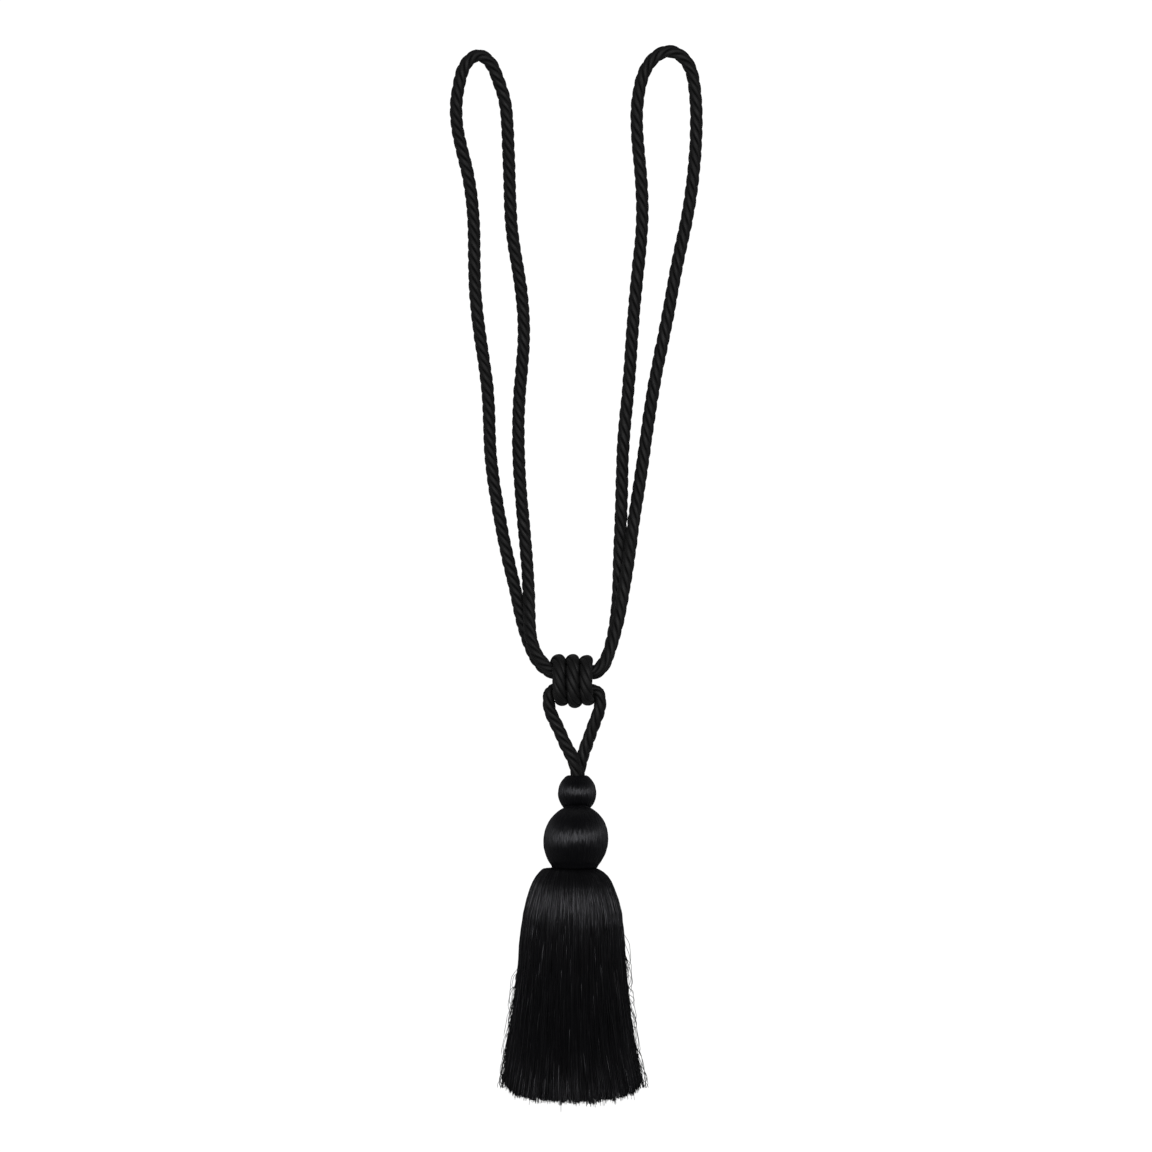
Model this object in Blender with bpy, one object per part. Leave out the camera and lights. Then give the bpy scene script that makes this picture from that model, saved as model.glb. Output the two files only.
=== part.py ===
"""Curtain tieback tassel: a twisted rope with two hanging loops, bound by three turns of its own
rope, and a key tassel of two yarn-covered balls over a skirt of cut yarn.

The piece lies flat on its back. X runs across it, +Y runs from the tassel towards the loops and
+Z points away from the surface at Z = 0. The origin is on that surface, under the middle of the
tassel. Sizes below are millimetres and become metres as each mesh is made.
"""

import math

import bmesh
import bpy
import numpy as np
from mathutils.geometry import delaunay_2d_cdt

MM = 0.001
SEAT_CLEARANCE = 0.4  # between the small ball and the hollow that it nests in

# Rope: four strands laid up left-handed
ROPE_DIAMETER = 8.0
TWIST_PITCH = 28.4  # length in which the strands make one full turn
LYING = 4.1  # height of the rope's middle where it lies on the surface

# Between two sections of the rope: in its bends, and in the long arms between these two places
BEND_SPACING = 3.15
ARM_SPACING = 5.0
ARM_FROM_Y, ARM_TO_Y = 205.0, 535.0

# One strand's share of the outline: angle from its crest in degrees, share of the half size
STRAND_OUTLINE = ((-14.0, 0.98), (14.0, 0.98), (45.0, 0.68))
STRANDS = 4

# Binding: the same rope, pressed flat, in three turns round the rope's three passes
BINDING_MIDDLE = (168.7, 16.5)  # Y and Z of its axis, which runs along X
BINDING_HALF_HEIGHT = 13.3  # from that axis up or down to the middle of the rope
BINDING_SQUARENESS = 2.5
BINDING_ROPE_HALF = (3.4, 4.2)  # half thickness and half width of the pressed rope
BINDING_PITCH = 32.0  # the twist is drawn out as the rope is wound tight
BINDING_SPACING = 3.6
BINDING_FROM, BINDING_TO = -66.0, 966.0  # degrees; both ends are tucked under the back

# Each turn: X where it crosses the side nearest the loops, the front, and the side nearest the
# tassel; then how far it stands from the axis on those two sides
BINDING_TURNS = (
    (-10.1, -10.1, -8.1, 14.2, 12.8),
    (-1.0, -1.3, 0.3, 14.2, 14.2),
    (7.8, 7.3, 8.7, 13.6, 12.6),
)
BINDING_RISE = 8.9  # X gained from one turn to the next

# Balls
SMALL_BALL_RADIUS = 12.3
SMALL_BALL_HALF_LENGTH = 13.3
SMALL_BALL_X, SMALL_BALL_Y = 1.7, 95.9
LARGE_BALL_RADIUS = 20.9
LARGE_BALL_UPPER_LENGTH, LARGE_BALL_LOWER_LENGTH = 22.7, 24.0
LARGE_BALL_X, LARGE_BALL_Y = 0.85, 65.9
LARGE_BALL_LEAN = 0.04  # sideways for each unit of height
FLAT_SPOT_DEPTH = 0.25
BALL_SEGMENTS = 24

# Upper end of the small ball, above its middle: height, half width along X, half width along Z
SMALL_BALL_MOUTH = (
    (10.2, 8.9, 8.9),
    (11.1, 7.4, 8.4),
    (10.8, 6.6, 8.1),
    (6.0, 6.3, 7.8),
)

# Lower end of the large ball, where its yarn runs into the skirt: height, radius
LARGE_BALL_FOOT = ((-17.2, 14.9), (-18.4, 14.2))

# Skirt: place along Y, middle along X, half width, top, underside, squareness of the outline
SKIRT_ROWS = (
    (47.15, -2.0, 16.8, 36.0, 5.2, 2.0),
    (46.4, -1.8, 18.4, 37.0, 4.0, 2.0),
    (44.2, -1.6, 21.5, 38.6, 2.2, 2.1),
    (41.6, -1.5, 23.8, 39.7, 0.9, 2.2),
    (38.4, -1.4, 25.7, 40.6, 0.0, 2.3),
    (33.0, -1.4, 28.0, 41.6, 0.0, 2.3),
    (25.0, -1.3, 30.5, 42.5, 0.0, 2.3),
    (14.0, -1.3, 32.7, 43.0, 0.0, 2.4),
    (0.0, -1.4, 34.1, 42.4, 0.0, 2.4),
    (-20.0, -1.4, 35.8, 40.4, 0.0, 2.4),
    (-39.0, -1.6, 37.8, 38.0, 0.0, 2.4),
    (-65.0, -1.7, 41.4, 34.0, 0.0, 2.4),
    (-91.0, -0.9, 45.3, 31.0, 0.0, 2.4),
    (-108.0, 0.0, 46.4, 29.0, 0.0, 2.4),
)
ROOTS_Y = 33.0  # the locks hang free from here
LOCK_LEVELS = (14.0, -26.0, -62.0)
SKIRT_SEGMENTS = 48
PRESSED_FLAT = 1.6  # how far the skirt's round underside is pressed level on the surface

# Rings of locks: inner and outer share of the half size, locks in the ring
LOCK_RINGS = ((0.82, 1.0, 46), (0.57, 0.80, 26), (0.31, 0.55, 12), (0.05, 0.29, 4))
LOCK_FILL = 0.87  # share of its place in the ring that a lock takes up
ROOT_INSET = 0.965  # the roots start this much inside the edge of the head

# Hem: lowest point, rise towards the sides, and how unevenly the locks are cut
HEM_Y = -106.2
HEM_RISE, HEM_RISE_POWER = 7.0, 2
HEM_CORNER, HEM_CORNER_POWER = 6.0, 8
HEM_UNEVEN = 2.4
GOLDEN_SHARE = 0.618034

# The rope's route, in the order in which it runs: X, Y, Z, girth (1 is the full diameter; the
# rope is pressed thinner inside the binding and where its ends are glued into the ball).
LEFT_LEG = (
    (1.5, 102.8, 15.6, 0.83),
    (1.1, 108.6, 15.9, 0.87),
    (-0.6, 117.0, 16.9, 1.0),
    (-6.0, 128.0, 16.5, 1.0),
    (-11.4, 139.8, 15.2, 1.0),
    (-15.6, 148.8, 14.3, 1.0),
    (-16.8, 156.2, 13.8, 0.98),
    (-15.1, 162.4, 13.3, 0.93),
)
PASS_LOW = (
    (-11.0, 164.4, 12.6, 0.80),
    (-6.0, 165.8, 11.3, 0.75),
    (-0.5, 168.4, 10.1, 0.75),
    (5.0, 171.0, 11.3, 0.75),
    (10.1, 172.5, 12.6, 0.82),
)
RIGHT_ARM_UNDER = (
    (16.0, 175.4, 12.0, 0.98),
    (21.3, 184.2, 9.6, 1.0),
    (24.7, 196.3, 6.8, 1.0),
    (27.6, 214.5, 4.5, 1.0),
    (29.1, 247.0, LYING, 1.0),
    (30.6, 286.0, LYING, 1.0),
    (31.9, 325.0, LYING, 1.0),
    (34.6, 354.3, LYING, 1.0),
    (37.5, 393.3, LYING, 1.0),
    (41.2, 435.5, LYING, 1.0),
    (43.9, 464.8, LYING, 1.0),
    (42.9, 500.5, LYING, 1.0),
    (40.5, 533.0, LYING, 1.0),
    (42.8, 556.2, LYING, 1.0),
)
RIGHT_LOOP = (
    (50.4, 572.6, LYING, 1.0),
    (61.2, 578.4, LYING, 1.0),
    (72.1, 572.7, LYING, 1.0),
    (77.7, 557.6, LYING, 1.0),
)
RIGHT_ARM_OVER = (
    (79.3, 536.3, LYING, 1.0),
    (77.2, 497.3, LYING, 1.0),
    (72.8, 468.0, LYING, 1.0),
    (67.0, 440.7, LYING, 1.0),
    (60.1, 403.0, LYING, 1.0),
    (52.3, 364.0, LYING, 1.0),
    (46.3, 325.0, LYING, 1.0),
    (42.6, 299.0, 5.2, 1.0),
    (38.4, 271.7, 8.4, 1.0),
    (35.8, 252.2, 10.3, 1.0),
    (32.5, 230.8, 11.8, 1.0),
    (28.5, 209.3, 13.4, 1.0),
    (24.7, 195.0, 15.7, 1.0),
    (21.1, 184.6, 18.2, 1.0),
    (16.2, 177.5, 20.3, 0.98),
)
PASS_FRONT = (
    (10.1, 174.7, 21.3, 0.82),
    (-0.7, 174.4, 21.6, 0.75),
    (-11.4, 174.7, 21.3, 0.82),
)
LEFT_ARM_OVER = (
    (-18.2, 178.3, 20.4, 0.98),
    (-24.1, 185.3, 18.5, 1.0),
    (-27.9, 195.0, 15.7, 1.0),
    (-29.4, 210.0, 11.8, 1.0),
    (-29.9, 227.5, 7.6, 1.0),
    (-31.3, 250.3, 4.6, 1.0),
    (-34.5, 286.0, LYING, 1.0),
    (-36.4, 318.5, LYING, 1.0),
    (-36.0, 351.0, LYING, 1.0),
    (-33.0, 393.3, LYING, 1.0),
    (-35.4, 427.7, LYING, 1.0),
    (-40.5, 460.2, LYING, 1.0),
    (-42.2, 490.8, LYING, 1.0),
    (-43.6, 527.8, LYING, 1.0),
    (-46.3, 549.7, LYING, 1.0),
)
LEFT_LOOP = (
    (-50.3, 561.3, LYING, 1.0),
    (-55.5, 571.8, LYING, 1.0),
    (-62.6, 575.7, LYING, 1.0),
    (-69.5, 571.7, LYING, 1.0),
    (-74.3, 560.5, LYING, 1.0),
)
LEFT_ARM_UNDER = (
    (-76.8, 546.0, LYING, 1.0),
    (-76.1, 527.8, LYING, 1.0),
    (-70.2, 501.8, LYING, 1.0),
    (-65.7, 468.0, LYING, 1.0),
    (-64.8, 425.8, LYING, 1.0),
    (-61.5, 393.3, LYING, 1.0),
    (-56.3, 354.3, LYING, 1.0),
    (-54.8, 318.5, LYING, 1.0),
    (-50.1, 282.8, LYING, 1.0),
    (-43.6, 249.6, LYING, 1.0),
    (-38.0, 225.5, LYING, 1.0),
    (-34.1, 208.0, 4.6, 1.0),
    (-30.2, 195.0, 6.8, 1.0),
    (-25.5, 184.2, 9.6, 1.0),
    (-18.5, 176.2, 12.0, 0.98),
)
PASS_HIGH = (
    (-11.4, 172.5, 12.8, 0.82),
    (-6.0, 171.2, 15.6, 0.75),
    (-0.5, 168.4, 16.7, 0.75),
    (5.0, 165.5, 15.6, 0.75),
    (9.8, 163.8, 14.2, 0.80),
)
RIGHT_LEG = (
    (14.6, 162.3, 13.9, 0.90),
    (16.8, 156.6, 13.7, 0.93),
    (16.0, 149.5, 12.8, 1.0),
    (13.1, 141.7, 11.3, 1.0),
    (8.9, 130.0, 9.3, 1.0),
    (5.3, 119.6, 8.2, 1.0),
    (3.3, 108.6, 8.5, 0.87),
    (2.9, 102.8, 8.6, 0.83),
)
ROPE_ROUTE = (
    LEFT_LEG
    + PASS_LOW
    + RIGHT_ARM_UNDER
    + RIGHT_LOOP
    + RIGHT_ARM_OVER
    + PASS_FRONT
    + LEFT_ARM_OVER
    + LEFT_LOOP
    + LEFT_ARM_UNDER
    + PASS_HIGH
    + RIGHT_LEG
)


def clear_scene():
    for item in list(bpy.data.objects):
        bpy.data.objects.remove(item, do_unlink=True)


def yarn_material(name, colour, roughness):
    """A plain satin or dull black yarn."""
    material = bpy.data.materials.new(name)
    material.use_nodes = True
    shader = material.node_tree.nodes["Principled BSDF"]
    shader.inputs["Base Color"].default_value = (*colour, 1.0)
    shader.inputs["Roughness"].default_value = roughness
    shader.inputs["Metallic"].default_value = 0.0
    return material


def add_object(name, mesh_builder, material):
    """Turn a finished bmesh, in millimetres, into a smooth-shaded object in metres."""
    bmesh.ops.scale(mesh_builder, vec=(MM, MM, MM), verts=mesh_builder.verts)
    mesh = bpy.data.meshes.new(name)
    mesh_builder.to_mesh(mesh)
    mesh_builder.free()
    mesh.materials.append(material)
    mesh.shade_smooth()
    mesh.set_sharp_from_angle(angle=math.radians(50))
    item = bpy.data.objects.new(name, mesh)
    bpy.context.collection.objects.link(item)
    return item


def smooth_curve(rows):
    """The natural cubic curve through the rows, finely drawn.

    Every column of the rows is smoothed alike; the first three are the place.
    """
    rows = np.array(rows, dtype=float)
    gaps = np.linalg.norm(np.diff(rows[:, :3], axis=0), axis=1)
    along = np.concatenate(([0.0], np.cumsum(gaps)))
    count = len(rows)
    system = np.eye(count)
    bends = np.zeros_like(rows)
    for i in range(1, count - 1):
        before, after = gaps[i - 1], gaps[i]
        system[i, i - 1 : i + 2] = before, 2 * (before + after), after
        bends[i] = 6 * ((rows[i + 1] - rows[i]) / after - (rows[i] - rows[i - 1]) / before)
    bends = np.linalg.solve(system, bends)

    fine_spacing = 0.5
    fine = np.linspace(0.0, along[-1], int(along[-1] / fine_spacing))
    span = np.clip(np.searchsorted(along, fine, side="right") - 1, 0, count - 2)
    length = gaps[span][:, None]
    start_share = (along[span + 1] - fine)[:, None] / length
    end_share = 1 - start_share
    curve = start_share * rows[span] + end_share * rows[span + 1]
    curve += (start_share**3 - start_share) * bends[span] * length**2 / 6
    curve += (end_share**3 - end_share) * bends[span + 1] * length**2 / 6
    return curve


def spaced_out(curve, spacing):
    """Read a finely drawn curve again, at a spacing that may differ from step to step."""
    steps = np.linalg.norm(np.diff(curve[:, :3], axis=0), axis=1) / spacing
    sections = np.concatenate(([0.0], np.cumsum(steps)))
    stations = np.linspace(0.0, sections[-1], round(sections[-1]) + 1)
    return np.stack([np.interp(stations, sections, column) for column in curve.T], axis=1)


def tangents_of(points):
    tangents = np.gradient(points, axis=0)
    return tangents / np.linalg.norm(tangents, axis=1)[:, None]


def carried_normals(tangents):
    """A sideways direction carried along the curve without turning about it."""
    normal = np.cross(tangents[0], (0.0, 0.0, 1.0))
    normals = []
    for tangent in tangents:
        normal = normal - tangent * np.dot(normal, tangent)
        normal = normal / np.linalg.norm(normal)
        normals.append(normal)
    return np.array(normals)


def twisted_rope(points, normals, half_sizes, pitch):
    """One closed body of four strands, laid up left-handed along the points.

    half_sizes has, for each point, the rope's half size along the normal and across it.
    """
    tangents = tangents_of(points)
    across = np.cross(tangents, normals)
    steps = np.linalg.norm(np.diff(points, axis=0), axis=1)
    travelled = np.concatenate(([0.0], np.cumsum(steps)))
    outline = []
    for strand in range(STRANDS):
        for angle, share in STRAND_OUTLINE:
            outline.append((math.radians(angle + 360.0 * strand / STRANDS), share))

    builder = bmesh.new()
    rings = []
    for i, point in enumerate(points):
        turned = -2 * math.pi * travelled[i] / pitch
        half_normal, half_across = half_sizes[i]
        ring = []
        for angle, share in outline:
            along_normal = normals[i] * (half_normal * share * math.cos(angle + turned))
            along_across = across[i] * (half_across * share * math.sin(angle + turned))
            ring.append(builder.verts.new(point + along_normal + along_across))
        rings.append(ring)
    join_rings(builder, rings)
    builder.faces.new(list(reversed(rings[0])))
    builder.faces.new(rings[-1])
    return builder


def join_rings(builder, rings):
    for lower, upper in zip(rings, rings[1:]):
        count = len(lower)
        for k in range(count):
            following = (k + 1) % count
            builder.faces.new((lower[k], lower[following], upper[following], upper[k]))


def make_rope(material):
    curve = smooth_curve(ROPE_ROUTE)
    in_arm = (curve[:-1, 1] > ARM_FROM_Y) & (curve[:-1, 1] < ARM_TO_Y)
    curve = spaced_out(curve, np.where(in_arm, ARM_SPACING, BEND_SPACING))
    points, girth = curve[:, :3], curve[:, 3]
    half_sizes = np.stack([girth, girth], axis=1) * ROPE_DIAMETER / 2
    normals = carried_normals(tangents_of(points))
    builder = twisted_rope(points, normals, half_sizes, TWIST_PITCH)
    return add_object("rope", builder, material)


def rounded_power(value, squareness):
    """One axis of a superellipse: a sine or cosine drawn towards the corners."""
    return math.copysign(abs(value) ** (2.0 / squareness), value)


def binding_quarters():
    """X at every quarter turn, and the distance from the axis at every half turn."""
    quarters, reaches = [], []
    for loops_side, front, tassel_side, loops_reach, tassel_reach in BINDING_TURNS:
        back = (tassel_side + loops_side + BINDING_RISE) / 2
        quarters += [loops_side, front, tassel_side, back]
        reaches += [loops_reach, tassel_reach]
    before = quarters[3] - BINDING_RISE
    return [before, *quarters], [reaches[0], *reaches]


def binding_point(degrees):
    """The middle of the binding's rope; 0 degrees faces the loops and 90 degrees is on top."""
    angle = math.radians(degrees)
    middle_y, middle_z = BINDING_MIDDLE
    quarters, reaches = binding_quarters()
    x = np.interp(degrees, 90.0 * np.arange(-1, len(quarters) - 1), quarters)
    reach = np.interp(degrees, 180.0 * np.arange(-1, len(reaches) - 1), reaches)
    y = middle_y + reach * rounded_power(math.cos(angle), BINDING_SQUARENESS)
    z = middle_z + BINDING_HALF_HEIGHT * rounded_power(math.sin(angle), BINDING_SQUARENESS)
    return x, y, z


def make_binding(material):
    degrees = np.arange(BINDING_FROM, BINDING_TO + 1.0, 1.0)
    fine = np.array([binding_point(value) for value in degrees])
    points = spaced_out(fine, BINDING_SPACING)
    tangents = tangents_of(points)
    outward = np.cross(tangents, (1.0, 0.0, 0.0))
    outward /= np.linalg.norm(outward, axis=1)[:, None]
    half_sizes = np.tile(BINDING_ROPE_HALF, (len(points), 1))
    builder = twisted_rope(points, outward, half_sizes, BINDING_PITCH)
    for vert in builder.verts:
        vert.co.z = max(vert.co.z, 0.0)
    return add_object("binding", builder, material)


def round_ring(builder, middle, height, half_x, half_z, lean=0.0):
    """A ring of points about an axis along Y; it runs so that join_rings faces outward."""
    ring = []
    for k in range(BALL_SEGMENTS):
        angle = 2 * math.pi * k / BALL_SEGMENTS
        x = middle[0] + lean * height + half_x * math.sin(angle)
        z = middle[2] + half_z * math.cos(angle)
        ring.append(builder.verts.new((x, middle[1] + height, z)))
    return ring


def close_ball(builder, rings):
    """Join the rings, cap both ends and press the small flat spot on which the ball rests."""
    join_rings(builder, rings)
    builder.faces.new(list(reversed(rings[0])))
    builder.faces.new(rings[-1])
    everything = list(builder.verts) + list(builder.edges) + list(builder.faces)
    cut = bmesh.ops.bisect_plane(
        builder,
        geom=everything,
        plane_co=(0.0, 0.0, 0.0),
        plane_no=(0.0, 0.0, -1.0),
        clear_outer=True,
    )
    edges = [item for item in cut["geom_cut"] if isinstance(item, bmesh.types.BMEdge)]
    bmesh.ops.holes_fill(builder, edges=edges)
    bmesh.ops.recalc_face_normals(builder, faces=builder.faces)


def latitude_rings(builder, middle, radius, half_lengths, latitudes, lean=0.0):
    """Rings of a ball whose lower and upper half lengths along Y may differ."""
    lower_length, upper_length = half_lengths
    rings = []
    for degrees in latitudes:
        latitude = math.radians(degrees)
        half_length = upper_length if degrees > 0 else lower_length
        height = half_length * math.sin(latitude)
        ring_radius = radius * math.cos(latitude)
        rings.append(round_ring(builder, middle, height, ring_radius, ring_radius, lean))
    return rings


def small_ball_middle():
    return SMALL_BALL_X, SMALL_BALL_Y, SMALL_BALL_RADIUS - FLAT_SPOT_DEPTH


def make_small_ball(material):
    """The upper mould; the rope's two ends sit in the oval hole in its top."""
    builder = bmesh.new()
    middle = small_ball_middle()
    half_lengths = (SMALL_BALL_HALF_LENGTH, SMALL_BALL_HALF_LENGTH)
    latitudes = np.arange(-80.0, 41.0, 15.0)
    rings = latitude_rings(builder, middle, SMALL_BALL_RADIUS, half_lengths, latitudes)
    for height, half_x, half_z in SMALL_BALL_MOUTH:
        rings.append(round_ring(builder, middle, height, half_x, half_z))
    close_ball(builder, rings)
    return add_object("small_ball", builder, material)


def make_large_ball(material):
    """The lower mould, hollowed at the top where the small ball nests in it."""
    builder = bmesh.new()
    middle = LARGE_BALL_X, LARGE_BALL_Y, LARGE_BALL_RADIUS - FLAT_SPOT_DEPTH
    rings = []
    for height, radius in reversed(LARGE_BALL_FOOT):
        rings.append(round_ring(builder, middle, height, radius, radius, LARGE_BALL_LEAN))
    half_lengths = (LARGE_BALL_LOWER_LENGTH, LARGE_BALL_UPPER_LENGTH)
    latitudes = np.arange(-39.0, 76.0, 13.0)
    rings += latitude_rings(
        builder, middle, LARGE_BALL_RADIUS, half_lengths, latitudes, LARGE_BALL_LEAN
    )
    close_ball(builder, rings)
    ball = add_object("large_ball", builder, material)

    bpy.ops.mesh.primitive_uv_sphere_add(
        segments=BALL_SEGMENTS,
        ring_count=14,
        radius=(SMALL_BALL_RADIUS + SEAT_CLEARANCE) * MM,
        location=[value * MM for value in small_ball_middle()],
        rotation=(math.radians(90), 0.0, 0.0),
        scale=(1.0, 1.0, SMALL_BALL_HALF_LENGTH / SMALL_BALL_RADIUS),
    )
    cutter = bpy.context.object
    cutter.name = "small_ball_seat"
    cutter.hide_render = True
    cutter.display_type = "WIRE"
    seat = ball.modifiers.new("seat", "BOOLEAN")
    seat.operation = "DIFFERENCE"
    seat.solver = "EXACT"
    seat.object = cutter
    return ball


def skirt_row(y):
    """The skirt's measures at any place along Y."""
    rows = np.array(SKIRT_ROWS)[::-1]
    return [float(np.interp(y, rows[:, 0], column)) for column in rows.T[1:]]


def skirt_point(y, share, angle):
    """A point of the skirt's cross-section: share 0 is its middle and 1 its edge."""
    middle_x, half_width, top, underside, squareness = skirt_row(y)
    middle_z = (top + underside) / 2
    half_height = (top - underside) / 2
    cosine, sine = math.cos(angle), math.sin(angle)
    reach = (abs(cosine) ** squareness + abs(sine) ** squareness) ** (1 / squareness)
    x = half_width * cosine / reach
    z = half_height * sine / reach
    if z < 0:
        pressed = PRESSED_FLAT if underside == 0.0 else 0.0
        z = max(z * (half_height + pressed) / half_height, -half_height)
    return middle_x + share * x, y, middle_z + share * z


def lock_corners():
    """For every lock, the ring share and angle of its corners, in order round the lock."""
    locks = []
    for inner, outer, count in LOCK_RINGS:
        for k in range(count):
            middle = 2 * math.pi * (k + 0.5) / count
            half = math.pi / count * LOCK_FILL
            locks.append(
                (
                    (inner, middle - half),
                    (outer, middle - half),
                    (outer, middle + half),
                    (inner, middle + half),
                )
            )
    return locks


def hem_of_lock(number, corners):
    """Where a lock is cut: a shallow arc across the skirt, and a little uneven."""
    share = np.mean([share * math.cos(angle) for share, angle in corners])
    rise = HEM_RISE * abs(share) ** HEM_RISE_POWER
    rise += HEM_CORNER * abs(share) ** HEM_CORNER_POWER
    return HEM_Y + rise + HEM_UNEVEN * ((number * GOLDEN_SHARE) % 1.0)


def make_skirt(material):
    """The skirt's head, closed below by a face with every lock's root let into it."""
    builder = bmesh.new()
    angles = [2 * math.pi * k / SKIRT_SEGMENTS for k in range(SKIRT_SEGMENTS)]
    head_rows = sorted(row[0] for row in SKIRT_ROWS if row[0] >= ROOTS_Y)
    rings = []
    for y in head_rows:
        rings.append([builder.verts.new(skirt_point(y, 1.0, -angle)) for angle in angles])
    join_rings(builder, rings)
    builder.faces.new(rings[-1])

    locks = lock_corners()
    flat_points = [vert.co.xz for vert in rings[0]]
    flat_roots = []
    for corners in locks:
        start = len(flat_points)
        for share, angle in corners:
            x, _, z = skirt_point(ROOTS_Y, share * ROOT_INSET, angle)
            flat_points.append((x, z))
        flat_roots.append(list(range(start, start + len(corners))))
    placed, _, triangles, origins, _, covered = delaunay_2d_cdt(
        [tuple(point) for point in flat_points], [], flat_roots, 0, 1e-5
    )
    root_verts = {}
    for index, sources in enumerate(origins):
        if sources[0] < SKIRT_SEGMENTS:
            root_verts[index] = rings[0][sources[0]]
        else:
            place = (placed[index][0], ROOTS_Y, placed[index][1])
            root_verts[index] = builder.verts.new(place)
    for triangle, roots in zip(triangles, covered):
        if not roots:
            builder.faces.new([root_verts[index] for index in triangle])
    by_source = {sources[0]: root_verts[index] for index, sources in enumerate(origins)}

    for number, (corners, root) in enumerate(zip(locks, flat_roots)):
        levels = (*LOCK_LEVELS, hem_of_lock(number, corners))
        sections = [[by_source[index] for index in root]]
        for y in levels:
            sections.append(
                [builder.verts.new(skirt_point(y, share, angle)) for share, angle in corners]
            )
        join_rings(builder, sections)
        builder.faces.new(sections[-1])
    bmesh.ops.recalc_face_normals(builder, faces=builder.faces)
    return add_object("skirt", builder, material)


def main():
    clear_scene()
    rope_yarn = yarn_material("rope_yarn", (0.012, 0.012, 0.013), 0.62)
    ball_yarn = yarn_material("ball_yarn", (0.008, 0.008, 0.010), 0.38)
    skirt_yarn = yarn_material("skirt_yarn", (0.006, 0.006, 0.007), 0.45)
    make_rope(rope_yarn)
    make_binding(rope_yarn)
    make_small_ball(ball_yarn)
    make_large_ball(ball_yarn)
    make_skirt(skirt_yarn)


main()
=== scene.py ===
# %% [markdown]
# # A curtain tieback tassel in black yarn
#
# A tieback holds a curtain to the side of a window. This one is a single length of twisted rope,
# bent into two long loops that go over a wall hook. Three turns of the same rope bind it, and
# below them its two ends run down into a key tassel: a small and a large ball covered with satin
# yarn, over a skirt of cut yarn.
#
# It lies on its back on a pale table, and the camera looks straight down on it. X runs across
# the picture, +Y runs from the tassel up to the loops, and +Z rises from the table.
#
# The solid model of each part comes first, as a frame. Everything below is built around it, at
# the same place and size, and takes over what is seen.

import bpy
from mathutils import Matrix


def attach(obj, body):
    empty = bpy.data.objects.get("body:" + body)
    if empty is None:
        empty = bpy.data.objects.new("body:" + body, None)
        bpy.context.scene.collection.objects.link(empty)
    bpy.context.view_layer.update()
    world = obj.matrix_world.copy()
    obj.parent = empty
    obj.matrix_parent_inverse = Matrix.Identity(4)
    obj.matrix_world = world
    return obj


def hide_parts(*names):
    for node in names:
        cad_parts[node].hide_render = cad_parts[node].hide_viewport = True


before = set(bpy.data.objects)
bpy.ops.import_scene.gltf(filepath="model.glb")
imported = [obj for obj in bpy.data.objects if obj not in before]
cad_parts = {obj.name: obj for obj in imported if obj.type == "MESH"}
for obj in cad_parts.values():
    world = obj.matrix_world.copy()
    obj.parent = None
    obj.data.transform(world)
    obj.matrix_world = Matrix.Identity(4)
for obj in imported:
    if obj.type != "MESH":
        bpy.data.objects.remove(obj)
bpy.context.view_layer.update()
print("nodes in the frame:", sorted(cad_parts))

# %% The other modules
import math

import bpy
import numpy as np
from mathutils import Matrix

# %% [markdown]
# ## The camera
#
# The picture shows the tieback straight from above, with hardly any perspective: a long lens,
# far away. So the camera hangs five metres up, and its lens is worked out from the width that
# the picture takes in, one centimetre above the table. A short lens close by would swell the
# thick skirt against the thin rope.

# %% Hang the camera
VIEW_WIDTH = 0.7488
VIEW_MIDDLE_X, VIEW_MIDDLE_Y = 0.000975, 0.236925
CAMERA_HEIGHT = 5.0
WIDTH_TAKEN_AT = 0.010

camera_data = bpy.data.cameras.new("camera")
camera_data.lens = camera_data.sensor_width * CAMERA_HEIGHT / VIEW_WIDTH
camera = bpy.data.objects.new("camera", camera_data)
camera.location = (VIEW_MIDDLE_X, VIEW_MIDDLE_Y, CAMERA_HEIGHT + WIDTH_TAKEN_AT)
bpy.context.collection.objects.link(camera)
bpy.context.scene.camera = camera
print(f"lens {camera_data.lens:.0f} mm")

# %% [markdown]
# ## The rope's route
#
# A rope is a fixed length of something limp, so its route comes before its look. Each row below
# is a point on the rope's middle line, X, Y and Z in metres, with its girth there: 1 is the full
# thickness, and it is less where the binding presses the rope or where its end is glued in. Most
# of the rope lies on the table, where its height and girth are the same all along.
#
# The rope starts in the small ball, climbs the left leg and passes through the binding to the
# right loop. It comes back over its own arm and passes through again to the left loop. From
# there it comes back under its own arm, passes through a third time and goes down the right leg.
# Where two stretches cross, one of them rises over the other in a long low hump.

# %% The points of the route
LYING = (0.0041, 1.0)

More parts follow.
